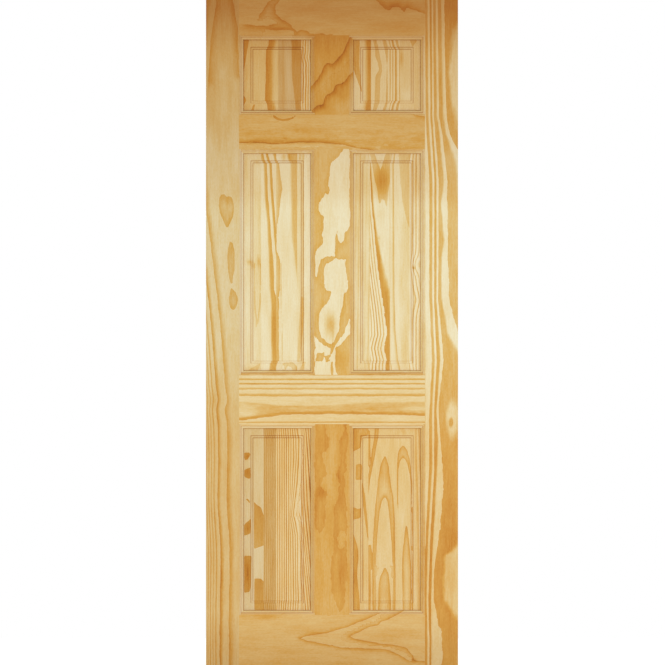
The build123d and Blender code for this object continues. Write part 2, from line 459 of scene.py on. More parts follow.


# Figure of each board, in mm on the leaf; ring lines run from one edge to the other
BOARDS = {
    "left_stile": Board(
        Pine(jag=0.05, vary=0.3, low=0.24, tint="f6f4f3", vein=0.3, reach=15.1, wave=4),
        lines((10, -3), (9, 5), (8, 12), (7, 20), (6, 28), (5, 41), (4, 69), (3.45, 91), (3.2, 118)),
        swells=(
            Swell(51, 1399, 18, 39, -0.46), Swell(76, 1393, 9, 36, -0.4), Swell(63, 1356, 11, 30, -0.26),
            Swell(75, 1229, 13, 70, -0.44), Swell(79, 1111, 18, 32, -0.46),
        ),
        bends=(
            Bend(48, 1701, FULL, 599, -90.1), Bend(54, 815, 48, 27, 4.8), Bend(48, 782, 42, 21, -4.2),
            Bend(54, 510, 60, 91, -6), Bend(48, 343, 60, 121, 3),
        ),
        shades=(
            Swell(57, 2034, 36, 91, 0.22), Swell(48, 1840, 181, 212, 0.05), Swell(48, 1876, 24, 42, 0.08),
            Swell(50, 1801, 9, 21, -0.12), Swell(24, 1725, 7, 103, 0.12), Swell(71, 1707, 6, 85, 0.1),
            Swell(39, 1634, 5, 73, 0.1), Swell(60, 1598, 5, 60, 0.08), Swell(9, 1810, 15, 121, 0.08),
            Swell(57, 298, 181, 393, 0.13),
        ),
        veins=(
            ((33, 2040), (32, 2022), (28, 1988), (20, 1943), (14, 1898), (10, 1840), (7, 1774)),
            ((100, 1795), (99, 1840), (97, 1898), (96, 1937), (89, 1977), (81, 2022), (79, 2040)),
        ),
    ),
    "right_stile": Board(
        Pine(late=0.7, soft=0.4, jag=0.05, vary=0.2, high=0.62),
        lines(
            (6.62, 623), (6.56, 647), (6.45, ((2022, 658), (1671, 659), (1477, 661), (86, 661))),
            (6, ((2022, 662), (1671, 664), (1477, 676), (1114, 676), (933, 685), (782, 676), (600, 675), (343, 661))),
            (5, (
                (2022, 676), (1671, 679), (1477, 691), (1114, 690), (933, 697), (782, 690), (600, 690), (419, 679),
                (207, 672), (86, 676),
            )),
            (4.35, (
                (2022, 683), (1671, 685), (1477, 698), (1114, 698), (933, 711), (782, 698), (691, 704), (494, 694),
                (343, 686), (207, 682),
            )),
            (4, (
                (2022, 686), (1671, 689), (1477, 703), (1114, 702), (933, 718), (797, 703), (691, 710), (540, 717),
                (419, 705), (268, 686), (207, 688), (86, 713),
            )),
            (3.35, (
                (2022, 696), (1671, 699), (1616, 709), (1477, 722), (1402, 712), (1296, 723), (1250, 714),
                (1114, 714), (1009, 736), (918, 798), (389, 798), (340, 726), (207, 726), (117, 798),
            )),
            (3, (
                (2022, 700), (1671, 704), (1616, 714), (1477, 729), (1332, 730), (1114, 735), (1009, 762), (872, 829),
            )),
            (2, ((2022, 719), (1671, 727), (1616, 736), (1538, 777), (812, 889))),
            (1.55, (
                (2022, 765), (1967, 759), (1928, 738), (1807, 730), (1719, 736), (1628, 753), (1538, 798), (812, 949),
            )),
            (1.3, ((2022, 798), (1928, 762), (1807, 741), (1719, 747), (1538, 829), (812, 1010))),
        ),
        dive=-0.8,
        swells=(Swell(738, 752, 24, 73, -0.5), Swell(741, 745, 5, 11, 0.75)),
        shades=(Swell(708, 298, 181, 393, 0.2), Swell(744, 277, 24, 91, 0.14), Swell(708, 1266, 181, 333, -0.05)),
    ),
    "top_rail": Board(
        Pine(late=0.6, jag=0.1, vary=0.2, low=0.36, high=0.56, vein=0.34, reach=13.6, fill=0.1),
        lines((0.45, 1885), (0.25, 2037)),
        grain=Grain.LEVEL,
        shades=(
            Swell(233, 1961, 18, 12, 0.12), Swell(556, 2003, 21, 12, 0.15), Swell(602, 1994, 24, 12, 0.12),
            Swell(224, 1934, 42, 9, 0.1), Swell(587, 1937, 91, 15, 0.06),
        ),
        veins=(
            (
                (435, 1910), (375, 1917), (317, 1919), (305, 1926), (287, 1931), (275, 1922), (269, 1931),
                (257, 1946), (242, 1958), (224, 1967), (209, 1982), (209, 2000), (227, 2022), (239, 2037),
            ),
            (
                (496, 2037), (514, 2022), (541, 1994), (553, 1989), (564, 2000), (581, 2004), (599, 1986),
                (608, 1997), (640, 1986), (671, 1974),
            ),
            ((200, 2028), (181, 2006), (163, 1976)), ((200, 1946), (145, 1944), (127, 1946)),
            ((194, 1932), (266, 1928)),
        ),
    ),
    "frieze_rail": Board(
        Pine(jag=0.3, vary=0.2, low=0.44, high=0.57, vein=0.42, reach=4.8, wave=2),
        lines((0.9, 1559), (0.85, 1598), (0.5, 1644), (0.1, 1695)),
        grain=Grain.LEVEL,
        shades=(
            Swell(240, 1604, 8, 1.8, 0.4), Swell(375, 1628, 242, 9, 0.06), Swell(239, 1595, 181, 6, 0.12),
            Swell(254, 1581, 181, 3.6, -0.15),
        ),
        veins=(
            (
                (85, 1589), (169, 1589), (200, 1585), (236, 1587), (284, 1591), (339, 1590), (375, 1588), (414, 1584),
                (451, 1575), (496, 1568),
            ),
            (
                (201, 1674), (206, 1664), (218, 1659), (233, 1656), (251, 1658), (266, 1663), (274, 1674),
                (268, 1673), (260, 1667), (245, 1663), (227, 1662), (215, 1666), (208, 1673), (201, 1674),
            ),
            ((695, 1662), (665, 1668), (635, 1674)),
        ),
    ),
    "lock_rail": Board(
        Pine(soft=0.7, low=0.19),
        lines(
            (8, 718), (7, 729), (6.6, 736), (6, ((106, 743), (665, 743))),
            (5.4, ((106, 747), (187, 750), (665, 750))),
            (5.02, ((106, 748), (187, 760), (230, 768), (375, 769), (511, 768), (665, 764))),
            (4.98, ((106, 752), (187, 762), (230, 769), (375, 770), (511, 769), (665, 765))),
            (4.68, ((106, 761), (187, 771), (230, 777), (375, 779), (511, 777), (665, 774))),
            (4.66, ((106, 807), (181, 798), (239, 794), (375, 795), (511, 804), (665, 806))),
            (4.4, ((106, 813), (181, 804), (239, 798), (375, 800), (511, 809), (665, 810))), (4, 824), (3, 844),
            (2, 859), (1, 872), (0.02, 887), (-0.25, 889), (-0.38, 900), (-0.5, 921),
        ),
        grain=Grain.LEVEL,
        swells=(Swell(121, 779, 30, 15, -0.3), Swell(635, 786, 36, 5, -0.25)),
    ),
    "bottom_rail": Board(
        Pine(jag=0.3, vary=0.2, low=0.41, high=0.52, vein=0.42, reach=5.4, fill=0.08, wave=5),
        lines((0.6, -4), (0.5, 86), (0.1, 189)),
        grain=Grain.LEVEL,
        shades=(Swell(178, 157, 36, 8, 0.16), Swell(629, 26, 9, 6, 0.3), Swell(571, 104, 60, 27, 0.06)),
        veins=(
            (
                (659, 23), (629, 25), (626, 40), (617, 49), (605, 64), (571, 71), (542, 74), (474, 84), (433, 97),
                (465, 111), (486, 123), (519, 130), (530, 141), (569, 158), (599, 174),
            ),
            ((611, 26), (584, 43), (541, 59), (405, 64), (375, 73)), ((375, 111), (420, 123), (474, 144), (516, 162)),
            ((375, 71), (302, 86), (284, 92), (302, 98), (375, 109)),
        ),
    ),
    "upper_muntin": Board(
        Pine(jag=0.2, vary=0.2, low=0.57, high=0.65, vein=0.36, reach=13.6, fill=-0.05, wave=5),
        lines((0.2, 314), (0.4, 448)),
        shades=(
            Swell(345, 1876, 54, 60, 0.08), Swell(408, 1743, 27, 21, 0.12, 40), Swell(351, 1695, 15, 15, 0.15),
            Swell(420, 1695, 30, 24, -0.12), Swell(405, 1810, 15, 24, -0.06),
        ),
        veins=(
            (
                (454, 1949), (432, 1904), (413, 1861), (393, 1837), (381, 1827), (366, 1833), (356, 1821),
                (349, 1801), (333, 1777), (302, 1743),
            ),
            (
                (454, 1816), (432, 1794), (420, 1777), (410, 1768), (391, 1767), (385, 1746), (363, 1733),
                (353, 1706), (334, 1701), (308, 1677),
            ),
        ),
    ),
    "middle_muntin": Board(
        Pine(late=0.4, jag=0.2, vary=0.2, low=0.08, high=0.2, vein=0.5, reach=12.1, fill=0.8),
        lines((0.1, 314), (0.6, 448)),
        shades=(
            Swell(317, 1235, 8, 2721, 0.1), Swell(443, 1235, 7, 2721, 0.12), Swell(408, 933, 18, 36, 0.16),
            Swell(375, 1042, 15, 33, 0.45), Swell(384, 1024, 3.6, 42, 0.2), Swell(393, 1278, 6, 36, 0.1),
        ),
        veins=(
            (
                (336, 1181), (330, 1187), (330, 1260), (342, 1272), (354, 1290), (352, 1311), (355, 1365),
                (340, 1387), (345, 1411), (360, 1438), (369, 1432), (375, 1447), (370, 1465), (378, 1529),
                (399, 1547), (417, 1571), (423, 1598), (434, 1598), (434, 1332), (420, 1317), (418, 1293),
                (408, 1287), (399, 1296), (396, 1350), (392, 1302), (390, 1260), (388, 1247), (358, 1245),
                (347, 1235), (340, 1214), (336, 1181),
            ),
            (
                (360, 1211), (366, 1226), (393, 1240), (403, 1237), (423, 1237), (421, 1220), (424, 1199),
                (430, 1157), (430, 1148), (418, 1133), (415, 1111), (405, 1060), (403, 1030), (395, 1007), (382, 980),
                (365, 987), (351, 1003), (342, 1024), (341, 1051), (343, 1075), (358, 1097), (375, 1117), (375, 1128),
                (380, 1139), (365, 1143), (360, 1154), (360, 1211),
            ),
            (
                (434, 1063), (434, 1012), (425, 996), (408, 981), (396, 973), (391, 963), (389, 921), (393, 897),
                (405, 872), (384, 872), (384, 957), (390, 978), (402, 990), (415, 1007), (425, 1034), (434, 1063),
            ),
            ((330, 1006), (335, 1002), (343, 990), (357, 977), (377, 968), (378, 872), (330, 872), (330, 1006)),
            ((358, 956), (334, 954), (330, 930), (351, 927), (358, 956)),
            ((379, 948), (361, 945), (363, 927), (378, 930), (379, 948)),
        ),
    ),
    "lower_muntin": Board(
        Pine(late=0.4, jag=0.2, vary=0.2, low=0.57, high=0.64, vein=0.17, reach=12.1, fill=0.3, wave=14),
        lines((0.1, 314), (0.6, 448)),
        shades=(
            Swell(360, 679, 11, 18, 0.12), Swell(348, 532, 14, 18, 0.2), Swell(411, 501, 9, 36, 0.12),
            Swell(408, 292, 9, 67, 0.16), Swell(401, 582, 9, 18, 0.12), Swell(420, 727, 6, 30, 0.1),
            Swell(384, 646, 12, 91, -0.1), Swell(363, 298, 18, 91, -0.05), Swell(342, 380, 6, 24, 0.1),
            Swell(384, 283, 6, 42, 0.08), Swell(399, 207, 18, 30, -0.06),
        ),
        veins=(
            (
                (330, 758), (330, 425), (345, 407), (357, 428), (359, 452), (363, 498), (365, 534), (348, 552),
                (352, 570), (363, 588), (359, 615), (352, 649), (367, 658), (372, 679), (370, 697), (363, 706),
                (365, 758), (330, 758),
            ),
            (
                (416, 758), (417, 715), (405, 688), (404, 655), (408, 625), (399, 600), (393, 588), (399, 567),
                (408, 558), (399, 543), (397, 510), (387, 476), (386, 425), (388, 374), (383, 340), (378, 298),
                (381, 237), (402, 171), (417, 189), (426, 268), (425, 328), (426, 374), (426, 494), (423, 519),
                (414, 540), (422, 570), (417, 588), (426, 600), (420, 631), (429, 670), (426, 703), (426, 758),
                (416, 758),
            ),
            ((401, 361), (399, 395), (405, 413), (417, 413), (420, 389), (417, 361), (401, 361)),
        ),
    ),
    "upper_left_panel_stave_1": Board(
        Pine(late=0.55, low=0.3, high=0.78, vein=0.4, reach=18.1, fill=0.75, wave=2, jag=0.02, vary=0.1),
        lines(
            (2.6, 103), (2.32, 139), (2.4, 163), (2.03, ((1913, 180), (1795, 179), (1716, 176), (1680, 176))),
            (1.98, ((1913, 181), (1795, 181), (1716, 178), (1680, 178))), (1.84, 195), (1.6, 203), (1.4, 210),
            (1.3, 224),
        ),
        dive=-2,
        shades=(Swell(121, 1695, 12, 12, 0.1), Swell(212, 1795, 5, 121, -0.08)),
        veins=(
            ((103, 1919), (103, 1798), (114, 1807), (121, 1848), (129, 1898), (131, 1919), (103, 1919)),
            ((103, 1734), (103, 1707), (112, 1701), (122, 1719), (115, 1733), (103, 1734)),
            ((143, 1707), (134, 1683), (143, 1683), (148, 1707), (143, 1707)),
        ),
    ),
    "upper_left_panel_stave_2": Board(
        Pine(low=0.28, high=0.44, tint="f1eae6", vein=0.3, reach=18.1, fill=0.75, wave=3, jag=0.02),
        lines((0.2, 218), (0.3, 287)),
        shades=(
            Swell(233, 1786, 3.3, 136, 0.16), Swell(223, 1795, 3, 151, 0.06), Swell(249, 1795, 7, 181, -0.08),
            Swell(275, 1870, 15, 42, 0.06),
        ),
        veins=(
            (
                (257, 1919), (260, 1882), (259, 1816), (264, 1755), (269, 1716), (273, 1671), (302, 1671),
                (302, 1919), (257, 1919),
            ),
        ),
    ),
    "upper_left_panel_stave_3": Board(
        Pine(late=0.7, soft=0.5, low=0.05, high=0.66),
        lines((0, 286), (1, 293), (2, 301), (3, 308), (4, 316), (5, 325)),
        dive=-0.5,
        bends=(Bend(302, 1849, 24, 12, -2.7), Bend(302, 1780, 24, 30, 1.8), Bend(302, 1828, 18, 12, 1.8)),
    ),
    "upper_right_panel_stave_1": Board(
        Pine(late=0.55, high=0.72, vein=0.42, reach=18.1, fill=0.8, wave=2, jag=0.02, vary=0.1),
        lines((1.02, 471), (1.15, 477), (1.55, 480), (1.74, 487), (1.9, 491), (1.97, 505)),
        dive=0.6,
        shades=(Swell(457, 1840, 9, 60, 0.06), Swell(481, 1698, 7, 15, 0.2)),
        veins=(
            (
                (444, 1919), (446, 1813), (463, 1764), (469, 1743), (473, 1743), (469, 1768), (464, 1825),
                (466, 1919), (444, 1919),
            ),
        ),
    ),
    "upper_right_panel_stave_2": Board(
        Pine(high=0.3, vein=0.34, reach=15.1, fill=0.7, wave=2, jag=0.02),
        lines((0.02, 496), (0.3, 556)),
        veins=(
            (
                (504, 1907), (511, 1878), (512, 1852), (520, 1831), (523, 1810), (513, 1794), (511, 1774),
                (510, 1713), (502, 1683), (513, 1683), (525, 1713), (527, 1784), (532, 1807), (532, 1824),
                (527, 1848), (521, 1878), (514, 1907), (504, 1907),
            ),
            (
                (532, 1907), (539, 1878), (544, 1851), (547, 1824), (546, 1790), (544, 1713), (532, 1683),
                (542, 1683), (550, 1713), (550, 1878), (543, 1907), (532, 1907),
            ),
        ),
    ),
    "upper_right_panel_stave_3": Board(
        Pine(late=0.65, soft=0.5, low=0.02, high=0.6),
        lines((5, 547), (4, 555), (3, 563), (2, 571), (1, 584), (0.2, 596)),
        dive=2.3,
    ),
    "upper_right_panel_stave_4": Board(
        Pine(low=0.17, high=0.4, vein=0.3, reach=18.1, fill=0.8, wave=2),
        lines((0.2, 587), (0.3, 659)),
        shades=(
            Swell(591, 1846, 5, 24, 0.36), Swell(606, 1734, 21, 18, -0.14), Swell(599, 1795, 9, 76, 0.05),
            Swell(638, 1795, 8, 121, 0.12),
        ),
        veins=(((613, 1913), (616, 1901), (625, 1879), (637, 1898), (640, 1913), (613, 1913)),),
    ),
    "middle_left_panel_stave_1": Board(
        Pine(low=0.2, high=0.36, vein=0.2, reach=24.2, fill=0.8, jag=0.02, wave=2),
        lines((0.2, 103), (0.4, 169)),
        shades=(
            Swell(130, 906, 18, 9, 0.15), Swell(133, 1229, 9, 6, 0.3), Swell(160, 1229, 6, 15, 0.3),
            Swell(142, 1217, 6, 9, 0.25), Swell(162, 1341, 4, 121, 0.14), Swell(154, 1532, 9, 9, 0.12),
            Swell(122, 1523, 11, 48, 0.13), Swell(124, 1296, 12, 36, -0.12), Swell(124, 1084, 12, 121, -0.1),
        ),
        veins=(
            ((144, 1229), (145, 1114), (150, 1030), (154, 1030), (149, 1114), (148, 1229), (144, 1229)),
            ((163, 1229), (162, 1114), (154, 1042), (157, 1036), (166, 1105), (168, 1229), (163, 1229)),
            ((119, 897), (156, 897), (165, 924), (145, 912), (119, 897)),
        ),
    ),
    "middle_left_panel_stave_2": Board(
        Pine(soft=0.7, high=0.62, jag=0.02, vary=0.1),
        lines(
            (0.3, 157),
            (0.5, (
                (1568, 169), (1529, 171), (1432, 175), (1350, 182), (1269, 186), (1148, 189), (1096, 194), (993, 194),
                (894, 197),
            )),
            (0.82, (
                (1568, 175), (1529, 177), (1432, 181), (1350, 188), (1269, 192), (1148, 197), (1123, 199),
                (1096, 201), (993, 200), (894, 204),
            )),
            (0.99, (
                (1568, 183), (1529, 184), (1432, 187), (1350, 194), (1269, 200), (1235, 204), (1190, 206),
                (1148, 205), (1123, 212), (1096, 224), (993, 224), (894, 221),
            )),
            (1.02, (
                (1568, 184), (1529, 185), (1432, 189), (1350, 195), (1269, 201), (1235, 205), (1190, 207),
                (1148, 206), (1123, 213), (1096, 225), (993, 225), (894, 222),
            )),
            (1.45, (
                (1568, 187), (1529, 189), (1453, 193), (1350, 200), (1281, 206), (1205, 215), (1148, 224), (894, 245),
            )),
            (1.82, (
                (1568, 190), (1529, 192), (1453, 196), (1350, 204), (1281, 209), (1205, 218), (1148, 227), (894, 248),
            )),
            (1.99, (
                (1568, 197), (1529, 198), (1453, 202), (1350, 210), (1281, 215), (1205, 224), (1148, 233), (894, 254),
            )),
            (2.02, (
                (1568, 198), (1529, 199), (1453, 203), (1350, 211), (1281, 216), (1205, 225), (1148, 234), (894, 255),
            )),
            (2.4, (
                (1568, 209), (1529, 210), (1453, 214), (1350, 222), (1281, 227), (1205, 236), (1148, 245), (894, 266),
            )),
            (2.85, (
                (1568, 213), (1529, 215), (1453, 219), (1350, 226), (1281, 232), (1205, 241), (1148, 250), (894, 271),
            )),
            (2.99, (
                (1568, 225), (1529, 226), (1453, 231), (1350, 238), (1281, 243), (1205, 252), (1148, 262), (894, 283),
            )),
        ),
        dive=2,
        shades=(Swell(209, 1024, 15, 85, 0.12),),
    ),
    "middle_left_panel_stave_3": Board(
        Pine(late=0.55, high=0.55, vein=0.24, reach=18.1, fill=0.7, wave=2, jag=0.02, vary=0.1),
        lines(
            (0.55, ((1568, 203), (1347, 206), (1123, 200), (1084, 169), (894, 169))),
            (0.99, (
                (1568, 218), (1529, 220), (1489, 224), (1450, 231), (1417, 224), (1371, 220), (1347, 215),
                (1314, 212), (1266, 212), (1235, 223), (1145, 223), (1123, 218), (1096, 220), (978, 221), (894, 219),
            )),
            (1.02, (
                (1568, 219), (1529, 221), (1489, 225), (1450, 232), (1417, 226), (1371, 221), (1347, 217),
                (1314, 213), (1266, 213), (1235, 224), (1145, 224), (1123, 219), (1096, 221), (978, 223), (894, 220),
            )),
            (1.2, 249), (1.6, ((1568, 253), (1417, 256), (1296, 260), (1229, 269), (1175, 275), (894, 281))),
            (1.86, ((1568, 259), (1417, 261), (1296, 265), (1229, 273), (1175, 278), (894, 284))), (1.96, 287),
        ),
        dive=2,
        shades=(Swell(235, 1548, 5, 11, 0.3), Swell(250, 1548, 3.9, 11, 0.28), Swell(260, 1547, 12, 15, 0.08)),
        veins=(
            (
                (224, 1229), (225, 1129), (227, 1069), (228, 1002), (227, 885), (230, 885), (232, 1002), (230, 1069),
                (229, 1129), (228, 1229), (224, 1229),
            ),
            (
                (227, 900), (239, 900), (245, 914), (257, 912), (263, 900), (275, 900), (274, 915), (263, 926),
                (236, 925), (228, 915), (227, 900),
            ),
        ),
    ),
    "middle_left_panel_stave_4": Board(
        Pine(high=0.46, vein=0.2, reach=18.1, fill=0.7, jag=0.02, wave=2),
        lines((0.66, 275), (0.72, 284), (0.95, 291), (1.03, 294), (1.3, 324)),
        shades=(Swell(305, 1462, 12, 91, -0.06),),
        veins=(
            (
                (287, 1126), (283, 1054), (278, 978), (274, 927), (282, 927), (290, 978), (294, 1039), (295, 1096),
                (295, 1126), (287, 1126),
            ),
            ((295, 928), (280, 900), (292, 900), (303, 928), (295, 928)),
            ((281, 1568), (281, 1538), (287, 1538), (287, 1568), (281, 1568)),
        ),
    ),
    "middle_right_panel_stave_1": Board(
        Pine(low=0.2, high=0.45, vary=0.7),
        lines((0, 435), (1, 448), (2, 460), (3, 472), (4, 484), (5, 496)),
        climb=-0.00132, origin=1235,
        shades=(Swell(460, 1417, 12, 121, 0.06), Swell(478, 1447, 12, 91, 0.05)),
    ),
    "middle_right_panel_stave_2": Board(
        Pine(late=0.55, soft=0.8, low=0.08, high=0.78, vein=0.3, reach=36.3, fill=0.8, wave=3),
        lines(
            (8, (
                (1568, 444), (1495, 449), (1396, 454), (1326, 461), (1235, 469), (1178, 476), (1084, 487),
                (1039, 490), (1009, 491), (984, 484), (969, 480), (951, 482), (934, 485), (894, 486),
            )),
            (7, (
                (1568, 452), (1495, 457), (1396, 461), (1326, 468), (1235, 477), (1178, 484), (1084, 496),
                (1039, 499), (1009, 500), (984, 493), (969, 490), (951, 492), (934, 495), (894, 496),
            )),
            (6, (
                (1568, 460), (1495, 465), (1396, 469), (1326, 476), (1235, 484), (1178, 492), (1084, 504),
                (1039, 508), (1009, 509), (984, 502), (969, 499), (951, 502), (934, 505), (894, 506),
            )),
            (5, (
                (1568, 468), (1495, 473), (1396, 477), (1326, 484), (1235, 492), (1178, 500), (1084, 512),
                (1039, 516), (1009, 518), (984, 511), (969, 508), (951, 511), (934, 515), (894, 516),
            )),
            (4, (
                (1568, 476), (1495, 480), (1396, 485), (1326, 492), (1235, 500), (1178, 507), (1084, 520),
                (1039, 525), (1009, 527), (984, 521), (969, 518), (951, 521), (934, 525), (894, 527),
            )),
            (3, (
                (1568, 484), (1495, 488), (1396, 493), (1326, 500), (1235, 508), (1178, 515), (1084, 529),
                (1039, 534), (1009, 536), (984, 530), (969, 527), (951, 530), (934, 535), (894, 537),
            )),
            (2, (
                (1568, 492), (1495, 496), (1396, 501), (1326, 508), (1235, 516), (1178, 523), (1084, 537),
                (1039, 542), (1009, 545), (984, 539), (969, 537), (951, 540), (934, 544), (894, 547),
            )),
            (1.75, (
                (1568, 495), (1396, 506), (1296, 518), (1229, 530), (1175, 542), (1114, 556), (1009, 568), (894, 571),
            )),
            (1.4, ((1568, 498), (1396, 510), (1296, 524), (1229, 540), (1175, 555), (1114, 571), (894, 587))),
            (1.2, 593),
        ),
        dive=1,
        shades=(
            Swell(532, 1474, 27, 45, 0.4), Swell(523, 1302, 3, 5, 0.3), Swell(535, 1374, 18, 30, 0.08),
            Swell(529, 1408, 24, 21, -0.1),
        ),
        veins=(
            (
                (493, 1568), (502, 1527), (507, 1497), (514, 1463), (521, 1420), (524, 1393), (532, 1420),
                (540, 1417), (547, 1387), (550, 1432), (556, 1480), (556, 1568), (547, 1568), (528, 1507),
                (506, 1568), (493, 1568),
            ),
        ),
    ),
    "middle_right_panel_stave_3": Board(
        Pine(late=0.55, low=0.12, high=0.52, vein=0.22, reach=18.1, fill=0.7, wave=3, jag=0.02),
        lines(
            (0.5, 553), (1.02, 557), (1.5, ((1568, 561), (1145, 562), (1024, 564), (894, 575))),
            (1.98, ((1568, 567), (1145, 569), (1024, 572), (948, 579), (894, 584))),
            (2.02, ((1568, 568), (1145, 570), (1024, 573), (948, 580), (894, 585))),
            (2.3, ((1568, 578), (1229, 576), (894, 587))),
            (2.62, ((1568, 599), (1326, 593), (1145, 582), (1024, 585), (948, 591), (894, 596))), (2.7, 623),
        ),
        shades=(Swell(602, 963, 9, 67, 0.1),),
        veins=(
            (
                (581, 1574), (585, 1529), (588, 1477), (594, 1417), (602, 1374), (614, 1332), (629, 1332),
                (629, 1574), (581, 1574),
            ),
        ),
    ),
    "middle_right_panel_stave_4": Board(
        Pine(low=0.06, high=0.68),
        lines((0, 614), (1, 624), (2, 633), (3, 642), (4, 650), (5, 659)),
        bends=(Bend(635, 1220, 15, 27, -12.1), Bend(641, 1114, 18, 36, 9.1)),
        shades=(Swell(628, 1212, 3.6, 5, 0.7), Swell(635, 1492, 8, 76, 0.25), Swell(643, 993, 9, 91, 0.12)),
    ),
    "lower_left_panel_stave_1": Board(
        Pine(low=0.16, high=0.3, tint="f2f0ee", vein=0.5, reach=18.1, fill=0.85, jag=0.02, wave=1.5),
        lines((0.2, 103), (0.4, 175)),
        shades=(
            Swell(126, 641, 7, 10, 0.2), Swell(126, 591, 7, 15, 0.22), Swell(126, 425, 7, 18, 0.22),
            Swell(126, 283, 7, 45, 0.24), Swell(142, 570, 3.6, 181, 0.1), Swell(160, 253, 15, 24, 0.08),
            Swell(160, 374, 18, 15, -0.08),
        ),
        veins=(
            ((115, 652), (115, 629), (125, 632), (135, 646), (133, 653), (115, 652)),
            ((115, 600), (115, 579), (125, 574), (134, 574), (134, 608), (115, 600)),
            ((115, 516), (124, 508), (133, 496), (132, 507), (124, 514), (115, 516)),
            ((115, 434), (115, 401), (134, 407), (135, 452), (115, 434)),
            ((115, 340), (115, 228), (131, 230), (135, 244), (136, 298), (138, 340), (115, 340)),
            ((145, 504), (145, 361), (181, 374), (181, 431), (172, 470), (166, 487), (154, 494), (145, 504)),
            ((146, 272), (146, 165), (181, 165), (181, 256), (166, 271), (146, 272)),
        ),
    ),
    "lower_left_panel_stave_2": Board(
        Pine(jag=0.2, low=0.44, high=0.82, tint="efecea"),
        lines((0, 172), (7, 212)),
    ),
    "lower_left_panel_stave_3": Board(
        Pine(late=0.55, soft=0.7, jag=0.04, vary=0.3, low=0.22, high=0.86),
        lines(
            (0, 211), (1, 218), (2, 224), (3, 231), (4, 238), (5, 244), (6, 251),
            (7, ((724, 259), (540, 256), (464, 252), (404, 256), (171, 259))),
            (8, ((724, 265), (637, 267), (540, 261), (464, 255), (404, 264), (171, 267))),
            (9, (
                (724, 272), (637, 274), (540, 267), (494, 262), (464, 259), (443, 264), (404, 271), (283, 272),
                (171, 274),
            )),
            (10, (
                (724, 278), (691, 283), (637, 281), (585, 278), (540, 274), (494, 268), (464, 265), (443, 271),
                (404, 278), (283, 278), (171, 281),
            )),
            (10.5, (
                (724, 288), (637, 293), (570, 287), (494, 276), (464, 272), (443, 280), (374, 285), (283, 285),
                (171, 289),
            )),
            (11, (
                (724, 290), (637, 295), (570, 290), (494, 278), (464, 275), (443, 283), (374, 287), (283, 287),
                (171, 291),
            )),
            (12, (
                (724, 291), (637, 295), (570, 290), (494, 278), (464, 275), (443, 283), (374, 288), (283, 288),
                (171, 297),
            )),
            (13, (
                (724, 291), (637, 296), (570, 290), (494, 279), (464, 275), (443, 283), (374, 289), (283, 294),
                (171, 305),
            )),
            (14, ((724, 291), (637, 296), (570, 291), (494, 279), (464, 276), (443, 285), (374, 293), (171, 313))),
            (15, ((724, 292), (637, 296), (570, 291), (494, 281), (464, 283), (443, 290), (374, 299), (171, 321))),
            (16, ((724, 293), (637, 297), (570, 291), (494, 293), (443, 297), (171, 327))),
            (17, ((724, 295), (570, 298), (494, 301), (171, 333))), (18, ((724, 298), (494, 310), (171, 340))),
            (19, ((724, 305), (171, 348))), (20, ((724, 312), (171, 357))),
        ),
        dive=0.5,
        shades=(
            Swell(308, 510, 12, 272, 0.16), Swell(280, 358, 6, 151, -0.1), Swell(287, 646, 6, 76, -0.1),
            Swell(283, 501, 6, 30, -0.1), Swell(233, 570, 18, 181, 0.04),
        ),
    ),
    "lower_right_panel_stave_1": Board(
        Pine(late=0.6, jag=0.02, low=0.3, high=0.44, vein=0.38, reach=9.1, fill=0.55, wave=1.5),
        lines((0.2, 435), (0.4, 493)),
        shades=(
            Swell(458, 346, 4, 36, 0.14), Swell(449, 274, 6, 30, 0.16), Swell(476, 292, 2.7, 97, 0.22),
            Swell(486, 283, 2.4, 91, 0.14), Swell(451, 691, 6, 42, 0.1),
        ),
        veins=(
            ((444, 745), (444, 655), (467, 667), (472, 700), (496, 709), (496, 745), (444, 745)),
            ((454, 617), (452, 570), (471, 570), (472, 618), (454, 617)),
            ((444, 488), (444, 449), (467, 455), (470, 487), (460, 481), (444, 488)),
            (
                (471, 561), (475, 494), (482, 437), (490, 377), (492, 389), (489, 443), (485, 482), (481, 522),
                (473, 564), (471, 561),
            ),
            (
                (444, 410), (444, 159), (466, 159), (465, 198), (463, 225), (459, 253), (457, 283), (458, 307),
                (461, 331), (460, 355), (455, 380), (444, 410),
            ),
        ),
    ),
    "lower_right_panel_stave_2": Board(
        Pine(low=0.28, high=0.4, vein=0.44, reach=7.9, fill=0.1, wave=2),
        lines((0.2, 484), (0.3, 587)),
        shades=(
            Swell(540, 225, 15, 30, 0.14), Swell(497, 244, 5, 48, 0.2), Swell(541, 582, 12, 27, 0.12),
            Swell(570, 389, 4, 121, 0.1),
        ),
        veins=(
            (
                (573, 159), (573, 328), (571, 404), (570, 464), (567, 513), (559, 558), (553, 609), (545, 640),
                (541, 644), (533, 628), (527, 612), (521, 570), (514, 513), (509, 449), (505, 389), (503, 328),
                (503, 159),
            ),
            (
                (514, 322), (518, 404), (525, 476), (532, 507), (541, 519), (549, 507), (556, 449), (562, 374),
                (564, 322),
            ),
            (
                (560, 159), (559, 207), (556, 253), (552, 286), (544, 304), (541, 308), (535, 295), (527, 277),
                (522, 250), (521, 207), (520, 159),
            ),
            (
                (511, 745), (509, 697), (503, 664), (497, 618), (490, 576), (484, 510), (490, 510), (496, 570),
                (504, 612), (511, 646), (516, 676), (521, 697), (523, 745), (511, 745),
            ),
            ((487, 721), (487, 612), (494, 612), (497, 661), (497, 697), (496, 721), (487, 721)),
            ((491, 374), (491, 159), (503, 159), (503, 298), (500, 374), (491, 374)),
        ),
    ),
    "lower_right_panel_stave_3": Board(
        Pine(jag=0.04, low=0.26, high=0.66, vein=0.46, reach=6.7, fill=0.05, wave=2),
        lines(
